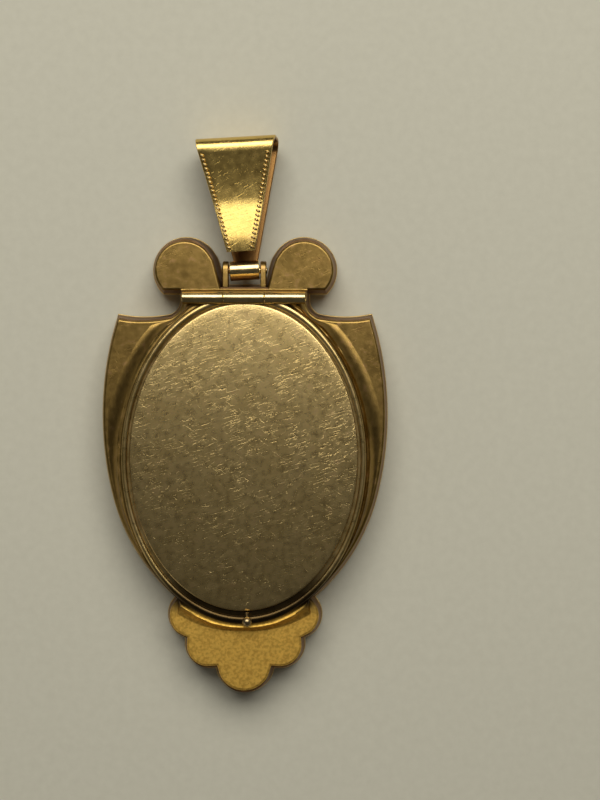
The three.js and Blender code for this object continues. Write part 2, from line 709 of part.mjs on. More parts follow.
function addBail(group) {
  addPart(group, 'bail_band', skewed(bailBand()), 'bail');
  const leaves = { back: 1, front: -1 };
  const edges = { left: -1, right: 1 };
  for (const [leafName, leaf] of Object.entries(leaves)) {
    for (const [edgeName, edge] of Object.entries(edges)) {
      addPart(group, `bail_beads_${leafName}_${edgeName}`, skewed(beadRow(edge, leaf)), 'bail');
    }
  }
  const bore = bailPinRadius + tubeBoreGap;
  const tube = tubeAlongX(bore, tubeRadius, -tubeLength / 2, tubeLength / 2, 0, 0);
  addPart(group, 'bail_tube', tube, 'bail');
}

// ---------------------------------------------------------------- assembly
const locket = new THREE.Group();
const caseGroup = new THREE.Group();
const lidGroup = new THREE.Group();
const bailGroup = new THREE.Group();
locket.add(caseGroup, lidGroup, bailGroup);

addPart(caseGroup, 'back_sheet', backSheet(), 'case');
addPart(caseGroup, 'seat_ring', seatRing(), 'case');
addPart(caseGroup, 'side_band', sideBand(), 'case');
addFront(caseGroup);
addCompartment(caseGroup);
addHinge(caseGroup, lidGroup);
addLid(lidGroup);
addPart(caseGroup, 'bail_lug_left', lug(-lugOuterX), 'case');
addPart(caseGroup, 'bail_lug_right', lug(lugInnerX), 'case');
const bailPinHalf = lugOuterX + bailPinProud;
const bailPin = barAlongX(bailPinRadius, -bailPinHalf, bailPinHalf, bailPinY, bailPinZ);
addPart(caseGroup, 'bail_pin', bailPin, 'case');

// The loose bail stands a little to the left on its pin.
bailGroup.position.set(0, bailPinY, bailPinZ);
bailGroup.rotation.z = bandLean;
addBail(bailGroup);

// Origin under the middle of the whole locket, on the surface it lies on.
locket.updateMatrixWorld(true);
const box = new THREE.Box3().setFromObject(locket, true);
const middle = box.getCenter(new THREE.Vector3());
locket.position.set(-middle.x, -middle.y, -box.min.z);
locket.updateMatrixWorld(true);

export default locket;
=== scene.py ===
# %% [markdown]
# # A shield locket, lying on its front
# A gold-filled locket of the 1870s, seen from its back: an oval lid on a shield-shaped case, and a
# folded strip, the bail, that a chain runs through. The working parts, their sizes and their hinges
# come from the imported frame. This lesson gives them their finished surfaces: rolled edges, coved
# mouldings, bead work and worn gold.

# %% Load the frame
import json
import math
from itertools import pairwise

import bmesh
import bpy
from mathutils import Matrix, Vector, geometry


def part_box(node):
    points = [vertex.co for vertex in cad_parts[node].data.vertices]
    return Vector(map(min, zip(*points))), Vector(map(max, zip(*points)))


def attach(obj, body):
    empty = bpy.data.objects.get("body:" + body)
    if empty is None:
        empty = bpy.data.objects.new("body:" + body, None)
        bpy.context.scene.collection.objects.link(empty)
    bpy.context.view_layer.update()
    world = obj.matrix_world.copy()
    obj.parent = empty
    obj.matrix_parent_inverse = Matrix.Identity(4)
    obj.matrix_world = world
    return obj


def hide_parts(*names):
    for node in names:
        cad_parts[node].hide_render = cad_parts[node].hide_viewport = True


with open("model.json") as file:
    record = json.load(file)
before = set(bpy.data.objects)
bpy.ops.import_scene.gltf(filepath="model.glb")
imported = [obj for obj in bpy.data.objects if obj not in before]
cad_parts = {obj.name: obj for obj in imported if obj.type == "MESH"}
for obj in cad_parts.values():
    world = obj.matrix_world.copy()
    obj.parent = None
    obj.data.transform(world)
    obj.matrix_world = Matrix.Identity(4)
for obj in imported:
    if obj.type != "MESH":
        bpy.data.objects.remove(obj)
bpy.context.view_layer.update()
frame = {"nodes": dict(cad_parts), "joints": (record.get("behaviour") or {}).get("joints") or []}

MM = 0.001
nodes = frame["nodes"]

# %% [markdown]
# ## Sizes read from the frame
# A bench jeweller measures the case before making anything that fits it. Here the boxes of the
# frame's own nodes give the oval, the heights of the sheets and the two hinge lines. All shapes are
# worked out in millimetres and brought to metres once, when a piece is finished.


# %% Boxes of the nodes, in millimetres
def node_box(name):
    low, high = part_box(name)
    return low / MM, high / MM


card_low, card_high = node_box("picture_card")
lid_low, lid_high = node_box("lid_plate")
seat_low, seat_high = node_box("seat_ring")
back_low, back_high = node_box("back_sheet")
band_low = node_box("side_band")[0]
front_low, front_high = node_box("front_sheet")
knuckle_high = node_box("case_knuckle_right")[1]
pins = {joint["name"]: Vector(joint["pos_m"]) / MM for joint in frame["joints"]}
hinge = pins["lid_hinge"]
bail_pin = pins["bail_swing"]

oval_y = (card_low.y + card_high.y) / 2
lid_half = Vector((lid_high.x, oval_y - lid_low.y))
stretch = lid_half.y / lid_half.x
ridge_outer = seat_high.x
seat_y = seat_low.y + ridge_outer * stretch
front_flare = front_high.x - back_high.x
barrel_radius = knuckle_high.z - hinge.z
print("lid", lid_half, "stretch", round(stretch, 4), "oval's middle", round(oval_y, 3))

# %% [markdown]
# ## Arithmetic on shader sockets
# A shader is a graph of nodes. Wiring each Math node by hand hides what it works out, so a small
# class wraps one output, and Python's operators add the Math nodes. A second class holds a material
# and has one method that adds any node.


# %% Wires and finishes
class Wire:
    """One output of a node. Arithmetic on it adds Math nodes."""

    def __init__(self, finish, socket):
        self.finish = finish
        self.socket = socket

    def math(self, operation, *others):
        inputs = dict(enumerate([self, *others]))
        return self.finish.node("ShaderNodeMath", {"operation": operation}, inputs)

    def __add__(self, other):
        return self.math("ADD", other)

    def __sub__(self, other):
        return self.math("SUBTRACT", other)

    def __mul__(self, other):
        return self.math("MULTIPLY", other)

    def __rsub__(self, other):
        return self * -1 + other

    __radd__ = __add__
    __rmul__ = __mul__


class Finish:
    """A material and its nodes."""

    def __init__(self, name):
        self.material = bpy.data.materials.new(name)
        self.material.use_nodes = True
        self.tree = self.material.node_tree
        self.tree.nodes.clear()

    def node(self, kind, settings=None, inputs=None, output=0):
        made = self.tree.nodes.new(kind)
        for setting, value in (settings or {}).items():
            setattr(made, setting, value)
        for name, value in (inputs or {}).items():
            if isinstance(value, Wire):
                self.tree.links.new(value.socket, made.inputs[name])
            else:
                made.inputs[name].default_value = value
        return None if output is None else Wire(self, made.outputs[output])

    def place(self):
        return self.node("ShaderNodeTexCoord", output="Object")

    def noise(self, size, turn=0.0, detail=3.0, rough=0.55):
        """Cloudy noise. Size is how long, wide and deep its spots are, in millimetres."""
        settings = {"vector_type": "TEXTURE"}
        inputs = {"Vector": self.place(), "Rotation": (0, 0, turn), "Scale": [s * MM for s in size]}
        spot = self.node("ShaderNodeMapping", settings, inputs)
        inputs = {"Vector": spot, "Scale": 1.0, "Detail": detail, "Roughness": rough}
        return self.node("ShaderNodeTexNoise", None, inputs)

    def between(self, value, low, high):
        """0 below low, 1 above high, and a smooth climb from one to the other."""
        inputs = {"Value": value, "From Min": low, "From Max": high}
        return self.node("ShaderNodeMapRange", {"interpolation_type": "SMOOTHSTEP"}, inputs)

    def mix(self, one, other, share):
        """Index 0 is the factor of a colour mix, 6 and 7 are its colours, and output 2 is its result."""
        inputs = {0: share, 6: one, 7: other}
        return self.node("ShaderNodeMix", {"data_type": "RGBA"}, inputs, output=2)

    def axis(self, index):
        """One coordinate of the point that is shaded, in millimetres."""
        return self.node("ShaderNodeSeparateXYZ", None, {0: self.place()}, output=index) * (1 / MM)

    def strokes(self, turn, size, rarity):
        """Short fine scratches that all run one way, gathered in patches."""
        lines = self.noise((*size, size[1]), turn, detail=0.6)
        patches = self.noise((2.5, 2.5, 2.5), turn, detail=1.0)
        return self.between(lines, rarity, rarity + 0.06) * self.between(patches, 0.3, 0.6)

    def done(self, **inputs):
        """The surface: one Principled shader."""
        named = {name.replace("_", " "): value for name, value in inputs.items()}
        shader = self.node("ShaderNodeBsdfPrincipled", None, named)
        self.node("ShaderNodeOutputMaterial", None, {"Surface": shader}, output=None)
        return self.material

# %% [markdown]
# ## Gold, new and worn
# Gold-filled sheet is a thin skin of gold on brass. Handling leaves fine scratches and lets brown and
# rose tarnish creep over it, and where it was left frosted it stays matt. One function makes every
# gold here: a bright and a dull tint mixed by cloudy noise, stains, a roughness that wanders, and a
# bump from fine grain and scratches. Each finish then only says what sets it apart.


# %% Gold
BROWN_TARNISH = (0.20, 0.105, 0.035, 1)
ROSE_TARNISH = (0.42, 0.22, 0.13, 1)


def gold(name, bright, dull, roughness, stain=0.5, rose=0.25, grain=0.06, grain_size=0.12, scratches=(),
         brushed=0.0, extra=None):
    finish = Finish(name)
    clouds = finish.noise((3.2, 3.2, 3.2), detail=5.0)
    mottle = finish.noise((0.7, 0.7, 0.7), detail=4.0)
    fine = finish.noise((grain_size,) * 3, detail=2.0)
    tint = finish.mix(dull, bright, finish.between(clouds * 0.6 + mottle * 0.4, 0.3, 0.7))
    tint = finish.mix(tint, ROSE_TARNISH, finish.between(mottle, 0.55, 0.72) * rose)
    tint = finish.mix(tint, BROWN_TARNISH, finish.between(clouds, 0.54, 0.74) * stain)
    streaks = finish.noise((1.8, 0.07, 0.07), math.radians(18), detail=2.0)
    height = fine * grain + streaks * brushed
    rough = mottle * 0.16 + fine * 0.10 + (roughness - 0.13)
    if extra:
        tint, rough = extra(finish, tint, rough)
    for turn, size, rarity in scratches:
        marks = finish.strokes(math.radians(turn), size, rarity)
        height = height - marks * 0.26
        rough = rough - marks * 0.08
    inputs = {"Strength": 1.0, "Distance": 0.012 * MM, "Height": height}
    bump = finish.node("ShaderNodeBump", None, inputs)
    return finish.done(Base_Color=tint, Metallic=1.0, Roughness=rough, Normal=bump)


def painted_lid_shadow(finish, tint, rough):
    """Painted shadow of the lid: near black along the ridge in the lower part of the oval."""
    x = finish.axis(0)
    y = (finish.axis(1) - seat_y) * (1 / stretch)
    reach = (x * x + y * y).math("POWER", 0.5)
    low_down = finish.between(finish.axis(1) * -1, 13.0, 18.5)
    near = 1 - finish.between(reach, ridge_outer + 0.25, ridge_outer + 1.1)
    return finish.mix(tint, (0.03, 0.016, 0.006, 1), low_down * near * 0.93), rough


def frosted_apron_and_lid_shadow(finish, tint, rough):
    """Painted lid shadow along the ridge, then the apron, which was left matt and whose gold is still
    fresh.
    """
    tint, rough = painted_lid_shadow(finish, tint, rough)
    below = finish.between(finish.axis(1) * -1, 18.6, 20.4)
    frost = finish.noise((0.3, 0.3, 0.3), detail=4.0)
    matt = finish.mix((1.0, 0.64, 0.13, 1), (0.72, 0.43, 0.08, 1), finish.between(frost, 0.38, 0.66))
    return finish.mix(tint, matt, below * 0.9), rough + below * 0.2


def darker_inner_faces(finish, tint, rough):
    """Darker and rougher on the strip's inner faces, between its leaves. The mesh marks those points as
    hidden.
    """
    hidden = finish.node("ShaderNodeAttribute", {"attribute_name": "hidden"}, output=2)
    return finish.mix(tint, (0.22, 0.09, 0.03, 1), hidden * 0.85), rough + hidden * 0.1


LID_SCRATCHES = (
    (16, (1.7, 0.07), 0.66),
    (23, (1.1, 0.06), 0.67),
    (31, (0.7, 0.06), 0.69),
    (-38, (1.2, 0.06), 0.71),
)
BAIL_SCRATCHES = ((35, (1.2, 0.07), 0.69), (75, (0.9, 0.07), 0.7))
FEW_SCRATCHES = ((20, (1.2, 0.06), 0.66), (-55, (0.9, 0.05), 0.68))
lid_gold = gold("lid_gold", (0.80, 0.60, 0.26, 1), (0.64, 0.46, 0.18, 1), 0.29,
                stain=0.3, rose=0.3, grain=0.25, brushed=0.45, scratches=LID_SCRATCHES)
# The case gold carries the painted lid shadow as well as the matt apron.
case_gold = gold("case_gold", (0.40, 0.26, 0.075, 1), (0.23, 0.145, 0.04, 1), 0.36,
                 stain=0.6, rose=0.3, grain=0.4, scratches=FEW_SCRATCHES, extra=frosted_apron_and_lid_shadow)
# Darker, rosier gold for the side wall: partly tarnish, partly painted shade that keeps the wall brown
# where the key light would brighten it.
shaded_wall_gold = gold("shaded_wall_gold", (0.34, 0.20, 0.09, 1), (0.20, 0.11, 0.05, 1), 0.42,
                 stain=0.8, rose=0.4, grain=0.7)
# The ridge gold carries the painted lid shadow at the bottom.
ridge_gold = gold("ridge_gold", (0.74, 0.55, 0.24, 1), (0.50, 0.35, 0.12, 1), 0.3, stain=0.45, grain=0.3,
                  extra=painted_lid_shadow)
bail_gold = gold("bail_gold", (0.92, 0.66, 0.20, 1), (0.72, 0.49, 0.14, 1), 0.25,
                 stain=0.3, rose=0.2, grain=0.08, brushed=0.3, scratches=BAIL_SCRATCHES,
                 extra=darker_inner_faces)
hinge_gold = gold("hinge_gold", (0.86, 0.66, 0.32, 1), (0.62, 0.45, 0.18, 1), 0.22,
                  stain=0.4, grain=0.15)
# A dull grey gold: the ball's own tone, and painted shade that keeps its stem dark.
shaded_thumb_gold = gold("shaded_thumb_gold", (0.46, 0.35, 0.18, 1), (0.28, 0.20, 0.10, 1), 0.32,
                  stain=0.4, grain=0.3)
ornament_gold = gold("ornament_gold", (0.82, 0.58, 0.20, 1), (0.62, 0.42, 0.13, 1), 0.33, stain=0.4,
                     grain=0.3, scratches=FEW_SCRATCHES)
print("gold finishes:", len(bpy.data.materials))

# %% [markdown]
# ## Paper and glass
# Behind the lid a card stands where a picture would go, and a window lies over it. The card is plain
# paper that has yellowed and foxed. The glass is thin and clear, so its edge stays almost colourless.


# %% Paper and glass
def aged_paper():
    finish = Finish("aged_paper")
    fibres = finish.noise((0.5, 0.08, 0.5), detail=4.0)
    foxing = finish.noise((1.6, 1.6, 1.6), detail=5.0)
    tint = finish.mix((0.70, 0.60, 0.42, 1), (0.80, 0.72, 0.55, 1), fibres)
    tint = finish.mix(tint, (0.42, 0.27, 0.13, 1), finish.between(foxing, 0.58, 0.72) * 0.6)
    inputs = {"Strength": 0.6, "Distance": 0.02 * MM, "Height": fibres}
    bump = finish.node("ShaderNodeBump", None, inputs)
    return finish.done(Base_Color=tint, Roughness=fibres * 0.1 + 0.8, Normal=bump)


def clear_glass():
    finish = Finish("clear_glass")
    smears = finish.noise((4.0, 1.5, 4.0), 0.5, detail=3.0)
    return finish.done(Base_Color=(0.97, 0.98, 0.96, 1), Roughness=smears * 0.08, IOR=1.5,
                       Transmission_Weight=1.0)


paper = aged_paper()
glass = clear_glass()
print("paper and glass ready")

# %% [markdown]
# ## Turning, lofting and finishing
# Most of the locket is turned or drawn from a section. `turned` spins a section about an upright
# axis and can round its corners first. `lofted` bridges rings that have the same number of points.
# `finished` brings a shape to metres, shades it smooth except across real edges, and mounts it on
# the body that it moves with.


# %% Helpers for shapes
OVAL_STEPS = 192
ROUND_STEPS = 48


def turned(section, steps, rounding=0.0, closed=True):
    """A section of (radius, height) corners, spun about Z."""
    bm = bmesh.new()
    verts = [bm.verts.new((radius, 0, height)) for radius, height in section]
    ends = list(pairwise(verts)) + ([(verts[-1], verts[0])] if closed else [])
    edges = [bm.edges.new(pair) for pair in ends]
    if rounding:
        rounded = [vert for vert in verts if len(vert.link_edges) == 2]
        bmesh.ops.bevel(bm, geom=rounded + edges, offset=rounding, affect="VERTICES", segments=4,
                        profile=0.5, material=-1)
    bmesh.ops.spin(bm, geom=bm.verts[:] + bm.edges[:], cent=(0, 0, 0), axis=(0, 0, 1),
                   angle=math.tau, steps=steps, use_merge=True)
    bmesh.ops.remove_doubles(bm, verts=bm.verts, dist=1e-4)
    bmesh.ops.recalc_face_normals(bm, faces=bm.faces)
    return bm


def oval(section, y=oval_y, rounding=0.0, closed=True):
    """A turned section, stretched into the lid's oval. Its radii are half widths."""
    bm = turned(section, OVAL_STEPS, rounding, closed)
    bmesh.ops.scale(bm, vec=(1, stretch, 1), verts=bm.verts)
    bmesh.ops.translate(bm, vec=(0, y, 0), verts=bm.verts)
    return bm


def laid_along_x(bm, x, y, z):
    """The same shape with its upright axis laid along X."""
    bmesh.ops.rotate(bm, cent=(0, 0, 0), matrix=Matrix.Rotation(math.pi / 2, 3, "Y"), verts=bm.verts)
    bmesh.ops.translate(bm, vec=(x, y, z), verts=bm.verts)
    return bm


def rod_along_x(half, radius, middle, rounding=0.0):
    """A solid rod laid along X."""
    section = [(0, -half), (radius, -half), (radius, half), (0, half)]
    return laid_along_x(turned(section, ROUND_STEPS, rounding, closed=False), *middle)


def lofted(rings, closed=False):
    """A skin over rings of points. Its ends are capped, unless the last ring joins the first."""
    bm = bmesh.new()
    loops = []
    for ring in rings:
        verts = bmesh.ops.create_circle(bm, segments=len(ring), radius=1)["verts"]
        for vert, place in zip(verts, ring):
            vert.co = place
        loops.append(list({edge for vert in verts for edge in vert.link_edges}))
    for one, other in pairwise(loops + loops[:1] if closed else loops):
        bmesh.ops.bridge_loops(bm, edges=one + other)
    if not closed:
        bmesh.ops.holes_fill(bm, edges=loops[0] + loops[-1], sides=0)
    bmesh.ops.recalc_face_normals(bm, faces=bm.faces)
    return bm


def combined(first, second, operation):
    """One shape joined with another or cut by it. Both are used up."""
    works = []
    for bm in (first, second):
        mesh = bpy.data.meshes.new("work")
        bm.to_mesh(mesh)
        bm.free()
        works.append(bpy.data.objects.new("work", mesh))
        bpy.context.scene.collection.objects.link(works[-1])
    step = works[0].modifiers.new("step", "BOOLEAN")
    step.operation = operation
    step.solver = "EXACT"
    step.object = works[1]
    result = bmesh.new()
    result.from_object(works[0], bpy.context.evaluated_depsgraph_get())
    for work in works:
        bpy.data.meshes.remove(work.data)
    return result


def joined(shapes):
    """Several shapes in one mesh."""
    whole = bmesh.new()
    for bm in shapes:
        mesh = bpy.data.meshes.new("work")
        bm.to_mesh(mesh)
        bm.free()
        whole.from_mesh(mesh)
        bpy.data.meshes.remove(mesh)
    return whole


SMALL_FACE = 1.0


def finished(bm, name, body, stands_for, material, sharp=32, weld=2e-4):
    """A piece in metres from a shape in millimetres, with its looks, body and CAD nodes."""
    bmesh.ops.remove_doubles(bm, verts=bm.verts, dist=weld)
    # A cut leaves small faces with many corners. They could fold when split into triangles, so they are
    # divided here.
    awkward = [face for face in bm.faces if len(face.verts) > 4 and face.calc_area() < SMALL_FACE]
    bmesh.ops.triangulate(bm, faces=awkward)
    for face in bm.faces:
        face.smooth = True
        face.material_index = 0
    for edge in bm.edges:
        edge.smooth = edge.calc_face_angle(0) < math.radians(sharp)
    bmesh.ops.scale(bm, vec=(MM, MM, MM), verts=bm.verts)
    mesh = bpy.data.meshes.new(name)
    bm.to_mesh(mesh)
    bm.free()
    mesh.materials.clear()
    mesh.materials.append(material)
    piece = bpy.data.objects.new(name, mesh)
    bpy.context.scene.collection.objects.link(piece)
    shading = piece.modifiers.new("flat faces stay flat", "WEIGHTED_NORMAL")
    shading.keep_sharp = True
    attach(piece, body)
    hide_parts(*stands_for)
    print(name, "rides on", body, "with", len(mesh.polygons), "faces")
    return piece


# %% [markdown]
# ## The shield outline
# The sheets of the case share one outline of arcs, and each sheet keeps its own distance from it.
# The frame's front sheet already has that outline in straight steps. Its sides are moved in or out
# by an offset, and each stretch between two real corners is drawn again as a smooth curve.

# %% Read the outline from the frame
CORNER_TURN = math.radians(27)
OUTLINE_STEP = 0.32


def edge_walk(node):
    """Corners round the underside of a flat node, in millimetres, anticlockwise."""
    bm = bmesh.new()
    bm.from_mesh(nodes[node].data)
    bmesh.ops.remove_doubles(bm, verts=bm.verts, dist=1e-6)
    low = min(vert.co.z for vert in bm.verts)
    rim = [edge for edge in bm.edges if all(vert.co.z - low < 1e-6 for vert in edge.verts)
           and edge.calc_face_angle(0) > 1]
    follow = {}
    for edge in rim:
        for vert in edge.verts:
            follow.setdefault(vert, []).append(edge.other_vert(vert))
    start = rim[0].verts[0]
    walk = [start, follow[start][0]]
    while walk[-1] is not start:
        one, other = follow[walk[-1]]
        walk.append(other if one is walk[-2] else one)
    places = [vert.co.xy / MM for vert in walk[:-1]]
    area = sum(a.cross(b) for a, b in pairwise(places + places[:1]))
    bm.free()
    return places if area > 0 else places[::-1]


front_corners = edge_walk("front_sheet")
count = len(front_corners)
sides = [front_corners[(i + 1) % count] - front_corners[i] for i in range(count)]
turns = [abs(sides[i - 1].angle_signed(sides[i])) for i in range(count)]
real_corner = [turn > CORNER_TURN for turn in turns]
side_steps = [max(1, round(side.length / OUTLINE_STEP)) for side in sides]
print("outline:", count, "corners,", sum(real_corner), "of them sharp,", sum(side_steps), "points")


# %% Draw it at any offset from the back sheet's edge
def outline(offset, z, length=1.0):
    """The outline at one height. A length below 1 draws in its top and bottom edges."""
    outward = [Vector((side.y, -side.x)).normalized() for side in sides]
    corners = []
    for i, corner in enumerate(front_corners):
        lean = (outward[i - 1] + outward[i]) / (1 + outward[i - 1].dot(outward[i]))
        place = corner + lean * (offset - front_flare)
        corners.append(Vector((place.x, seat_y + (place.y - seat_y) * length)))
    points = []
    for i in range(count):
        start = corners[i]
        end = corners[(i + 1) % count]
        before = 2 * start - end if real_corner[i] else corners[i - 1]
        after = 2 * end - start if real_corner[(i + 1) % count] else corners[(i + 2) % count]
        handles = (start + (end - before) / 6, end - (after - start) / 6)
        curve = geometry.interpolate_bezier(start, *handles, end, side_steps[i] + 1)
        points += [Vector((*place, z)) for place in curve[:-1]]
    return points


print("back edge is", round(max(point.x for point in outline(0, 0)), 3), "mm from the middle")

# %% [markdown]
# ## Front sheet and side wall
# The front of the case is a stamped sheet with a rolled edge, and a band soldered to it forms the
# wall. The band leans outwards, so from behind a strip of it shows beyond the back sheet. Both are
# drawn as rings that keep a set distance from the outline.

# %% Front sheet
front_section = [(-0.16, 0), (-0.04, 0.05), (-0.01, 0.16), (-0.01, 0.26), (-0.06, 0.35), (-0.18, 0.4)]
rings = [outline(front_flare + reach, front_low.z + rise) for reach, rise in front_section]
finished(lofted(rings), "front_pan", "case", ["front_sheet"], ornament_gold)

# %% Side wall
WALL_THICKNESS = 0.3
wall_section = [(0.27, 0), (0.2, 0.18), (0.06, 0.55), (-0.06, 1.2), (-0.14, 2.0), (-0.16, 2.32)]
wall_line = [(reach, band_low.z + rise) for reach, rise in wall_section]
wall_line += [(reach - WALL_THICKNESS, height - 0.01) for reach, height in wall_line[::-1]]
rings = [outline(reach, height) for reach, height in wall_line]
finished(lofted(rings, closed=True), "case_wall", "case", ["side_band"], shaded_wall_gold)

# %% [markdown]
# ## Back sheet
# The back sheet is stamped: flat ears and apron, and a cove that climbs from the edge to the oval
# ridge. A polar grid gives the cove, because its width and height change with direction. It is
# joined to the flat plate and to the moulding under the hinge, and the oval opening and the room
# for the hinge barrel are then cut away.

# %% Flat plate with a rolled edge
FLAT_Z = 4.28
EDGE_ROUND = 0.28
EDGE_INSET = 0.08
PLATE_LENGTH = 0.987
plate_section = [(-0.2, back_low.z), (-0.2, back_low.z + 0.08)]
for step in range(5):
    angle = step / 4 * math.pi / 2
    reach = EDGE_ROUND * (math.cos(angle) - 1) - EDGE_INSET
    plate_section.append((reach, FLAT_Z - EDGE_ROUND * (1 - math.sin(angle))))
plate = lofted([outline(reach, height, PLATE_LENGTH) for reach, height in plate_section])


# %% Cove round the oval
COVE_STEPS = 22
CREST_SET = 0.36
ridge_z = seat_high.z
crest_z = ridge_z - 0.32
plate_edge = [(point.x, (point.y - seat_y) / stretch) for point in outline(-0.3, 0, PLATE_LENGTH)]


def outline_reach(angle):
    """Distance from the oval's middle to the plate's edge in one direction, before the stretch."""
    ray = Vector((math.cos(angle), math.sin(angle))) * 100
    hits = []
    for one, other in pairwise(plate_edge + plate_edge[:1]):
        hit = geometry.intersect_line_line_2d((0, 0), ray, one, other)
        if hit:
            hits.append(hit.length)
    return min(hits)


def cove_width(angle):
    sideways = abs(math.cos(angle)) ** 1.4
    return max(0.12, min(0.72 + 1.6 * sideways, outline_reach(angle) - ridge_outer))


def cove_height(reach, width, angle):
    """Height at one distance from the ridge: a groove, a low second ridge, then the slope."""
    crest = min(CREST_SET, 0.4 * width)
    bead = 0.06 + 0.16 * max(0, math.cos(angle - 0.3)) ** 0.5
    if reach < crest:
        return crest_z - bead * math.sin(math.pi * reach / crest)
    share = min(1, (reach - crest) / (width - crest))
    return FLAT_Z - 0.02 + (crest_z - FLAT_Z + 0.02) * (1 - share) ** 2.1


cove_section = [(2 + step / COVE_STEPS, 1) for step in range(COVE_STEPS + 1)]
cove_section += [(3, 0), (1.9, 0), (1.9, 1)]
cove = turned(cove_section, OVAL_STEPS)
widths = {}
for vert in cove.verts:
    angle = math.atan2(vert.co.y, vert.co.x)
    key = round(angle, 5)
    if key not in widths:
        widths[key] = cove_width(angle)
    share = vert.co.xy.length - 2
    reach = share * widths[key]
    height = cove_height(max(0, reach), widths[key], angle) if vert.co.z > 0.5 else back_low.z + 0.1
    radius = ridge_outer + 0.02 + reach
    vert.co = (radius * math.cos(angle), seat_y + radius * math.sin(angle) * stretch, height)
print("cove is", round(min(widths.values()), 2), "to", round(max(widths.values()), 2), "mm wide")

# %% Moulding from the neck up to the hinge barrel
barrel_half = knuckle_high.x
MOULDING_WIDTH = 0.3
moulding_foot = hinge.y + barrel_radius + 0.1 + MOULDING_WIDTH
moulding_back = hinge.y - 0.2
moulding_rise = hinge.z - 0.2 - FLAT_Z
stations = [(-barrel_half - 0.2, 0.2), (-barrel_half + 0.1, 0.8), (-barrel_half + 0.6, 1)]
stations += [(-x, climb) for x, climb in stations[::-1]]
moulding_rings = []
for x, climb in stations:
    ring = [Vector((x, moulding_back, FLAT_Z - 0.2)), Vector((x, moulding_foot, FLAT_Z - 0.2))]
    for step in range(9):
        angle = step / 8 * math.pi / 2
        height = moulding_rise * climb * (1 - math.cos(angle))
        ring.append(Vector((x, moulding_foot - MOULDING_WIDTH * math.sin(angle), FLAT_Z + height)))
    ring.append(Vector((x, moulding_back, FLAT_Z + moulding_rise * climb)))
    moulding_rings.append(ring)
moulding = lofted(moulding_rings)

# %% Join them and cut the openings
OPENING_ROOM = 0.03
BED_ROOM = 0.06
opening_half = ridge_outer + OPENING_ROOM
opening = oval([(0, 0), (opening_half, 0), (opening_half, 9), (0, 9)], seat_y, closed=False)
bed = rod_along_x(barrel_half + BED_ROOM, barrel_radius + BED_ROOM, hinge)
shell = combined(combined(plate, cove, "UNION"), moulding, "UNION")
shell = combined(combined(shell, opening, "DIFFERENCE"), bed, "DIFFERENCE")
finished(shell, "back_plate", "case", ["back_sheet"], case_gold, weld=3e-3)

# %% [markdown]
# ## Seat, cup and what the locket holds
# The lid closes on an oval seat with a rounded ridge round it. Inside stands a cup, and in the cup
# lie a card, a window and the rim that holds them. Each is one turned section, stretched like the lid.

# %% Oval ring seat
RIDGE_HALF = 0.28
SEAT_WIDTH = 1.35
ledge_z = lid_low.z - 0.05
spring_z = ledge_z + 0.15
seat_inner = ridge_outer - SEAT_WIDTH
seat_section = [(seat_inner, seat_low.z), (ridge_outer, seat_low.z), (ridge_outer, spring_z)]
for step in range(1, 10):
    angle = step / 10 * math.pi
    x = ridge_outer - RIDGE_HALF + RIDGE_HALF * math.cos(angle)
    seat_section.append((x, spring_z + (ridge_z - spring_z) * math.sin(angle)))
ridge_inner = ridge_outer - 2 * RIDGE_HALF
seat_section += [(ridge_inner, spring_z), (ridge_inner, ledge_z), (seat_inner, ledge_z)]
seat_bed = rod_along_x(barrel_half + 0.1, barrel_radius + 0.05, hinge)
seat = combined(oval(seat_section, seat_y), seat_bed, "DIFFERENCE")
finished(seat, "oval_seat", "case", ["seat_ring"], ridge_gold)


# %% Cup, card, window and retaining rim
def box_of_oval(node, inner=0.0, rounding=0.06):
    """A ring or disc that fills a node's box."""
    low, high = node_box(node)
    if inner:
        section = [(inner, low.z), (high.x, low.z), (high.x, high.z), (inner, high.z)]
        return oval(section, rounding=rounding)
    section = [(0, low.z), (high.x, low.z), (high.x, high.z), (0, high.z)]
    return oval(section, rounding=rounding, closed=False)


cup_low, cup_high = node_box("picture_cup")
cup_wall = card_high.x + 0.1
cup_section = [(0, cup_low.z), (cup_high.x, cup_low.z), (cup_high.x, cup_low.z + 0.25),
               (cup_wall + 0.3, cup_low.z + 0.25), (cup_wall + 0.3, cup_high.z), (cup_wall, cup_high.z),
               (cup_wall, cup_low.z + 0.25), (0, cup_low.z + 0.25)]
cup = oval(cup_section, rounding=0.05, closed=False)
finished(cup, "oval_cup", "case", ["picture_cup"], case_gold)
finished(box_of_oval("picture_card"), "plain_card", "case", ["picture_card"], paper)
finished(box_of_oval("picture_window"), "oval_window", "case", ["picture_window"], glass)
rim_high = node_box("retaining_rim")[1]
rim = box_of_oval("retaining_rim", inner=rim_high.x - 0.55, rounding=0.12)
finished(rim, "spring_rim", "case", ["retaining_rim"], hinge_gold)

# %% [markdown]
# ## Lid
# The lid is raised a little in the middle, as stamped sheet always is, so it catches the light at
# one end and stays dark at the other. Its section is a long shallow arc with a rounded edge, and a
# notch at the top clears the hinge barrel. A flange below grips the seat, and a small ball on a stem
# gives the thumb something to lift.

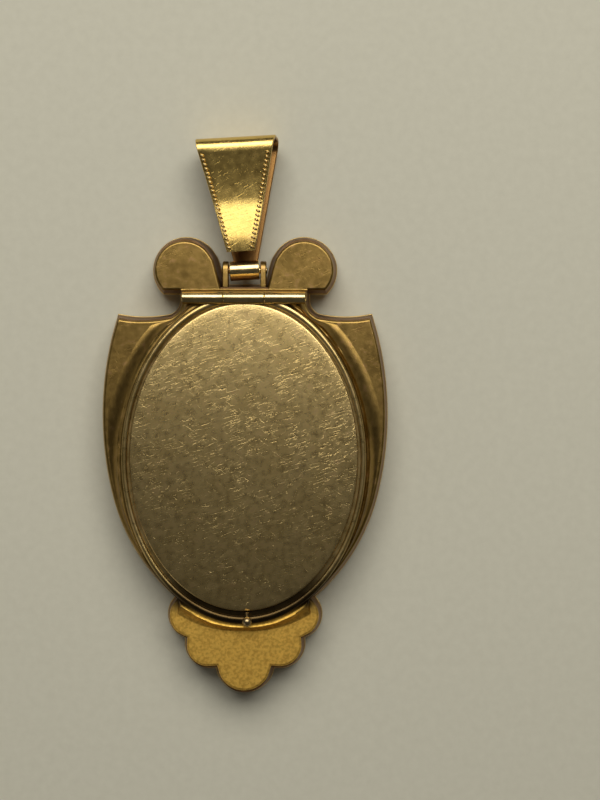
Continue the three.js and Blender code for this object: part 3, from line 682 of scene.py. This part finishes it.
# %% Lid plate
DOME = 0.3
DOME_POWER = 2.4
DOME_STEPS = 24
EDGE = 0.16
LID_NOTCH_HALF = 2.08
lid_section = [(0, lid_low.z), (lid_half.x - 0.04, lid_low.z), (lid_half.x, lid_low.z + 0.05)]
lid_edge_z = lid_high.z - DOME
for step in range(5):
    angle = step / 4 * math.pi / 2
    reach = lid_half.x - EDGE * (1 - math.cos(angle))
    lid_section.append((reach, lid_edge_z - EDGE * (1 - math.sin(angle))))
dome_half = lid_half.x - EDGE
for step in range(1, DOME_STEPS + 1):
    share = 1 - step / DOME_STEPS
    lid_section.append((dome_half * share, lid_high.z - DOME * share ** DOME_POWER))
knuckle_bed = rod_along_x(LID_NOTCH_HALF, barrel_radius + 0.03, hinge)
lid = combined(oval(lid_section, closed=False), knuckle_bed, "DIFFERENCE")
finished(lid, "oval_lid", "lid", ["lid_plate"], lid_gold)

# %% Flange under the lid
flange_high = node_box("lid_snap_flange")[1]
flange = box_of_oval("lid_snap_flange", inner=flange_high.x - 0.35, rounding=0.08)
finished(flange, "snap_flange", "lid", ["lid_snap_flange"], lid_gold)

# %% Thumb ball
ball_low, ball_high = node_box("thumb_ball")
ball_radius = (ball_high.x - ball_low.x) / 2
ball = bmesh.new()
bmesh.ops.create_uvsphere(ball, u_segments=40, v_segments=24, radius=ball_radius)
ball_x = (ball_low.x + ball_high.x) / 2
ball_middle = Vector((ball_x, ball_low.y + ball_radius, ball_high.z - ball_radius))
bmesh.ops.translate(ball, vec=ball_middle, verts=ball.verts)
stem_length = ball_high.y - ball_middle.y
stem_section = [(0, 0), (0.2, 0), (0.14, 0.35), (0.15, stem_length - 0.1)]
stem_section += [(0.2, stem_length), (0, stem_length)]
stem = turned(stem_section, ROUND_STEPS, closed=False)
bmesh.ops.rotate(stem, cent=(0, 0, 0), matrix=Matrix.Rotation(-math.pi / 2, 3, "X"), verts=stem.verts)
bmesh.ops.translate(stem, vec=(ball_middle.x, ball_middle.y, ball_low.z + 0.15), verts=stem.verts)
finished(combined(ball, stem, "UNION"), "thumb_bead", "lid", ["thumb_ball"], shaded_thumb_gold)

# %% [markdown]
# ## Hinge barrel
# Three short tubes line up on one wire. The outer two are soldered to the case and the middle one to
# the lid. Their ends are slightly rounded, which is what makes the joints show as fine dark lines.


# %% Knuckles and pin
def tube(node, bore, rounding, body, name, material=None):
    low, high = node_box(node)
    radius = (high.z - low.z) / 2
    half = (high.x - low.x) / 2
    section = [(bore, -half), (radius, -half), (radius, half), (bore, half)]
    bm = laid_along_x(turned(section, ROUND_STEPS, rounding), *((low + high) / 2))
    return finished(bm, name, body, [node], material or hinge_gold)


def pin(node, rounding, name):
    low, high = node_box(node)
    radius = (high.z - low.z) / 2
    half = (high.x - low.x) / 2
    bm = rod_along_x(half, radius, (low + high) / 2, rounding)
    return finished(bm, name, "case", [node], hinge_gold)


tube("case_knuckle_left", 0.3, 0.06, "case", "knuckle_left")
tube("lid_knuckle", 0.3, 0.06, "lid", "knuckle_middle")
tube("case_knuckle_right", 0.3, 0.06, "case", "knuckle_right")
pin("lid_hinge_pin", 0.05, "hinge_wire")

# %% [markdown]
# ## Lugs and bail pin
# Two lugs stand in the notch between the ears and hold the bail's pin. Each is a small plate with a
# round end and softened corners.


# %% Lugs
PIN_ROOM = 0.02
SOFT_CORNER = 0.08


def lug(node, name):
    low, high = node_box(node)
    radius = (high.z - low.z) / 2
    side = []
    for step in range(13):
        angle = math.pi / 2 - step / 12 * math.pi
        side.append((bail_pin.y + radius * math.cos(angle), bail_pin.z + radius * math.sin(angle)))
    side += [(low.y, low.z), (low.y, high.z)]
    rings = []
    steps = ((low.x, SOFT_CORNER), (low.x + SOFT_CORNER, 0),
             (high.x - SOFT_CORNER, 0), (high.x, SOFT_CORNER))
    for x, shrink in steps:
        middle = Vector((x, bail_pin.y, bail_pin.z))
        ring = [Vector((x, y, z)) for y, z in side]
        rings.append([middle + (place - middle) * (1 - shrink / radius) for place in ring])
    middle = ((low.x + high.x) / 2, bail_pin.y, bail_pin.z)
    cutter = rod_along_x(1, bail_pin_radius + PIN_ROOM, middle)
    bm = combined(lofted(rings), cutter, "DIFFERENCE")
    return finished(bm, name, "case", [node], case_gold)


bail_pin_low, bail_pin_high = node_box("bail_pin")
bail_pin_radius = (bail_pin_high.z - bail_pin_low.z) / 2
lug("bail_lug_left", "lug_left")
lug("bail_lug_right", "lug_right")
pin("bail_pin", 0.1, "bail_wire")

# %% [markdown]
# ## Bail
# The bail is one tapered strip folded over at its wide end, with its narrow ends soldered to a short
# tube. It hangs loosely and leans a little. It is drawn straight, about its pin, as a small rounded
# rectangle that travels down the back leaf, round the fold and along the front leaf. The back leaf
# dishes inwards, which gathers the light near its foot. Then it is skewed, leaned and put in place.

# %% Sizes of the strip
STRIP = 0.35
BAIL_LENGTH = 13.5
FOLD_RADIUS = 1.3
BACK_FOOT = 1.8
FRONT_FOOT = -0.2
TOP_HALF_WIDTH = 4.1
FOOT_HALF_WIDTH = 1.42
TOP_HALF_DEPTH = 2.15
FOOT_HALF_DEPTH = 1.38
LEAN = math.radians(3.2)
SKEW = 0.5 / (2 * TOP_HALF_DEPTH)


def half_width(y):
    share = (y - BACK_FOOT) / (BAIL_LENGTH - BACK_FOOT)
    return FOOT_HALF_WIDTH + (TOP_HALF_WIDTH - FOOT_HALF_WIDTH) * share


def front_depth(y):
    return FOOT_HALF_DEPTH + (TOP_HALF_DEPTH - FOOT_HALF_DEPTH) * y / BAIL_LENGTH


DISH = ((12.2, 0.15), (9.0, 0.09), (7.2, 0.02), (6.6, -0.045), (6.0, -0.07), (3.6, -0.075), (3.0, -0.05),
        (2.6, 0.0), (1.8, 0.05))


def back_depth(y):
    """Outer face of the back leaf, from the fold down. DISH gives its slope at some places."""
    depth = TOP_HALF_DEPTH - 0.05
    for (high, steep), (low, next_steep) in pairwise(DISH):
        reached = min(high, max(y, low))
        share = (high - reached) / (high - low)
        depth -= (steep + (next_steep - steep) * share / 2) * (high - reached)
    return depth


def hung(bm):
    """Skews a bail shape, leans it and puts it on its pin."""
    for vert in bm.verts:
        vert.co.x -= vert.co.z * SKEW
    bmesh.ops.rotate(bm, cent=(0, 0, 0), matrix=Matrix.Rotation(LEAN, 3, "Z"), verts=bm.verts)
    bmesh.ops.translate(bm, vec=(0, bail_pin.y, bail_pin.z), verts=bm.verts)
    return bm


# %% Folded strip
inset = STRIP / 2
fold_y = BAIL_LENGTH - FOLD_RADIUS
fold_reach = FOLD_RADIUS - inset
path = []
for step in range(25):
    y = FRONT_FOOT + (fold_y - FRONT_FOOT) * step / 24
    path.append(Vector((0, y, -front_depth(y) + inset)))
for side in (-1, 1):
    depth = front_depth(fold_y) if side < 0 else back_depth(fold_y)
    middle = Vector((0, fold_y, side * (depth - FOLD_RADIUS)))
    for step in range(1, 11):
        angle = (step / 10 if side < 0 else 1 - (step - 1) / 10) * math.pi / 2
        turn = Vector((0, math.sin(angle), side * math.cos(angle)))
        path.append(middle + turn * fold_reach)
for step in range(1, 61):
    y = fold_y + (BACK_FOOT - fold_y) * step / 60
    path.append(Vector((0, y, back_depth(y) - inset)))

strip_rings = []
inside = []
CORNER = 0.09
for i, place in enumerate(path):
    along = (path[min(i + 1, len(path) - 1)] - path[max(i - 1, 0)]).normalized()
    outward = along.cross(Vector((1, 0, 0)))
    reach = half_width(place.y) - CORNER
    ring = []
    for side, face in ((1, 1), (-1, 1), (-1, -1), (1, -1)):
        corner = place + Vector((side * reach, 0, 0)) + outward * face * (inset - CORNER)
        first = 0 if (side * face > 0) else 1
        for step in range(4):
            angle = (step / 3 if first == 0 else 1 - step / 3) * math.pi / 2
            ring.append(corner + Vector((side * CORNER * math.cos(angle), 0, 0))
                        + outward * face * CORNER * math.sin(angle))
        if (side, face) in ((1, 1), (-1, -1)):
            edge = ring[-1]
            for step in range(1, 8):
                ring.append(edge + Vector((-side * 2 * reach * step / 8, 0, 0)))
    strip_rings.append(ring)
    inside += [(corner - place).dot(outward) < 0 for corner in ring]
strip = lofted(strip_rings)
hidden = strip.verts.layers.float.new("hidden")
for vert, mark in zip(strip.verts, inside):
    vert[hidden] = float(mark)
finished(hung(strip), "bail_strip", "bail", ["bail_band"], bail_gold)

# %% [markdown]
# ## Bead edging
# A knurled wheel rolled along the strip's edges leaves a row of small slanted beads. Each bead is a
# coarse sphere drawn out and turned. There are many of them, so each has few faces.

# %% Beads
BEAD_PITCH = 0.45
BEAD_TOP = 11.6
BEAD_FOOT = 2.2
BEAD_INSET = 0.36


def bead_row(side, leaf):
    beads = bmesh.new()
    depth = back_depth if leaf > 0 else front_depth
    amount = round((BEAD_TOP - BEAD_FOOT) / BEAD_PITCH)
    for i in range(amount + 1):
        y = BEAD_FOOT + (BEAD_TOP - BEAD_FOOT) * i / amount
        place = Vector((side * (half_width(y) - BEAD_INSET), y, leaf * (depth(y) + 0.04)))
        turn = Matrix.Rotation(math.radians(-32 if leaf > 0 else 32), 4, "Z")
        size = Matrix.Diagonal((0.27, 0.13, 0.19, 1))
        bmesh.ops.create_uvsphere(beads, u_segments=10, v_segments=7, radius=1,
                                  matrix=Matrix.Translation(place) @ turn @ size)
    return hung(beads)


for leaf_name, leaf in (("back", 1), ("front", -1)):
    for side_name, side in (("left", -1), ("right", 1)):
        node = f"bail_beads_{leaf_name}_{side_name}"
        name = f"beads_{leaf_name}_{side_name}"
        finished(bead_row(side, leaf), name, "bail", [node], hinge_gold)

# %% Tube that the strip is soldered to
tube_half = 1.5
tube_section = [(0.45, -tube_half), (1.0, -tube_half), (1.0, tube_half), (0.45, tube_half)]
bail_tube = turned(tube_section, ROUND_STEPS, 0.07)
tube_turn = Matrix.Rotation(LEAN, 3, "Z") @ Matrix.Rotation(math.pi / 2, 3, "Y")
bmesh.ops.rotate(bail_tube, cent=(0, 0, 0), matrix=tube_turn, verts=bail_tube.verts)
bmesh.ops.translate(bail_tube, vec=(0, bail_pin.y, bail_pin.z), verts=bail_tube.verts)
finished(bail_tube, "bail_barrel", "bail", ["bail_tube"], hinge_gold)

# %% [markdown]
# ## Front of the locket
# The front lies face down, so it is seen only when the locket is picked up: a raised cord round the
# shield, a beaded bezel, an oval tablet cut with fine rays, and domed studs on the ears and apron.

# %% Border and studs
border_high = node_box("front_border")[1]
border_section = []
for step in range(9):
    angle = step / 8 * math.pi
    border_section.append((-0.6 + 0.24 * math.cos(angle), border_high.z - 0.37 * math.sin(angle)))
rings = [outline(reach, height) for reach, height in border_section]
cord = lofted(rings, closed=True)
finished(cord, "shield_cord", "case", ["front_border"], ornament_gold)


def stud(node, name):
    low, high = node_box(node)
    radius = (high.x - low.x) / 2
    rise = high.z - low.z
    section = [(0, 0), (radius, 0), (radius, -0.12), (radius * 0.84, -0.2), (radius * 0.8, -0.16)]
    for step in range(1, 9):
        angle = step / 8 * math.pi / 2
        section.append((radius * 0.8 * math.cos(angle), -0.16 - (rise - 0.16) * math.sin(angle)))
    bm = turned(section, ROUND_STEPS, closed=False)
    bmesh.ops.translate(bm, vec=((low.x + high.x) / 2, (low.y + high.y) / 2, high.z), verts=bm.verts)
    return finished(bm, name, "case", [node], ornament_gold)


stud("ear_stud_left", "stud_left")
stud("ear_stud_right", "stud_right")
stud("apron_stud", "stud_apron")

# %% Beaded bezel
bezel_low, bezel_high = node_box("front_bezel")
bezel_inner = node_box("front_tablet")[1].x + 0.03
step_x = bezel_inner + 0.3
step_z = bezel_low.z + 0.35
bezel_section = [(bezel_inner, bezel_high.z), (bezel_high.x, bezel_high.z), (bezel_high.x, step_z)]
bezel_section += [(step_x, step_z), (step_x, bezel_low.z), (bezel_inner, bezel_low.z)]
bezel = oval(bezel_section, rounding=0.07)
BEZEL_BEADS = 132
beads = bmesh.new()
for i in range(BEZEL_BEADS):
    angle = i / BEZEL_BEADS * math.tau
    reach = bezel_high.x - 0.32
    y = oval_y + reach * stretch * math.sin(angle)
    place = Vector((reach * math.cos(angle), y, bezel_low.z + 0.34))
    bmesh.ops.create_icosphere(beads, subdivisions=1, radius=0.23, matrix=Matrix.Translation(place))
finished(joined([bezel, beads]), "beaded_bezel", "case", ["front_bezel"], ornament_gold)

# %% Tablet with engine-turned rays
RAYS = 48
tablet_high = node_box("front_tablet")[1]
section = [(0, tablet_high.z), (tablet_high.x, tablet_high.z), (tablet_high.x, 0.2)]
section += [(tablet_high.x - 0.15, 0.02), (tablet_high.x - 0.45, 0), (tablet_high.x - 0.7, 0.1)]
section += [(tablet_high.x * (1 - step / 10) * 0.9, 0.06) for step in range(10)] + [(0, 0.06)]
tablet = oval(section, closed=False)
for vert in tablet.verts:
    local = Vector((vert.co.x, (vert.co.y - oval_y) / stretch))
    if abs(vert.co.z - 0.06) < 1e-3 and local.length > 1:
        vert.co.z += 0.045 * math.cos(RAYS * math.atan2(local.y, local.x)) * min(1, local.length / 4)
finished(tablet, "rayed_tablet", "case", ["front_tablet"], ornament_gold, sharp=50)

# %% [markdown]
# ## Floor, light and camera
# The locket lies on a plain pale surface. One large soft light stands beyond the bail, so that
# everything that faces it is bright and the rest falls into the dim room. The camera looks straight
# down from a hand's height, a little to the right of the locket.

# %% Floor
FLOOR = 1.6


def floor_finish():
    finish = Finish("pale_cloth")
    weave = finish.noise((0.9, 0.9, 0.9), detail=3.0)
    tint = finish.mix((0.60, 0.58, 0.465, 1), (0.68, 0.66, 0.535, 1), weave)
    return finish.done(Base_Color=tint, Roughness=0.9)


floor = bmesh.new()
bmesh.ops.create_grid(floor, x_segments=1, y_segments=1, size=FLOOR)
floor_mesh = bpy.data.meshes.new("floor")
floor.to_mesh(floor_mesh)
floor.free()
floor_mesh.materials.append(floor_finish())
floor_piece = bpy.data.objects.new("floor", floor_mesh)
bpy.context.scene.collection.objects.link(floor_piece)


# %% Lights
def soft_light(name, place, width, height, power, color=(1, 1, 1)):
    data = bpy.data.lights.new(name, "AREA")
    data.shape = "RECTANGLE"
    data.size = width
    data.size_y = height
    data.energy = power
    data.color = color
    light = bpy.data.objects.new(name, data)
    light.location = place
    light.rotation_euler = (-Vector(place)).to_track_quat("-Z", "Y").to_euler()
    bpy.context.scene.collection.objects.link(light)
    return light


soft_light("key", (0.02, 0.27, 0.36), 0.5, 0.30, 2.0, (1, 0.97, 0.92))
soft_light("fill", (-0.35, -0.30, 0.16), 0.3, 0.2, 0.1, (1, 0.96, 0.9))

world = bpy.data.worlds.new("room")
world.use_nodes = True
world.node_tree.nodes["Background"].inputs["Color"].default_value = (1.0, 0.97, 0.92, 1)
world.node_tree.nodes["Background"].inputs["Strength"].default_value = 0.05
bpy.context.scene.world = world

# %% Camera
CAMERA_HEIGHT = 0.14
VIEW_HEIGHT = 80 * MM
camera_data = bpy.data.cameras.new("camera")
camera_data.sensor_fit = "AUTO"
camera_data.clip_start = 0.005
camera_data.lens = camera_data.sensor_width * CAMERA_HEIGHT / VIEW_HEIGHT
camera = bpy.data.objects.new("camera", camera_data)
camera.location = (5.65 * MM, 1.6 * MM, CAMERA_HEIGHT + lid_high.z * MM)
bpy.context.scene.collection.objects.link(camera)
bpy.context.scene.camera = camera
bpy.context.scene.view_settings.view_transform = "Standard"
print("camera:", [round(value, 4) for value in camera.location], "lens", round(camera_data.lens, 1))
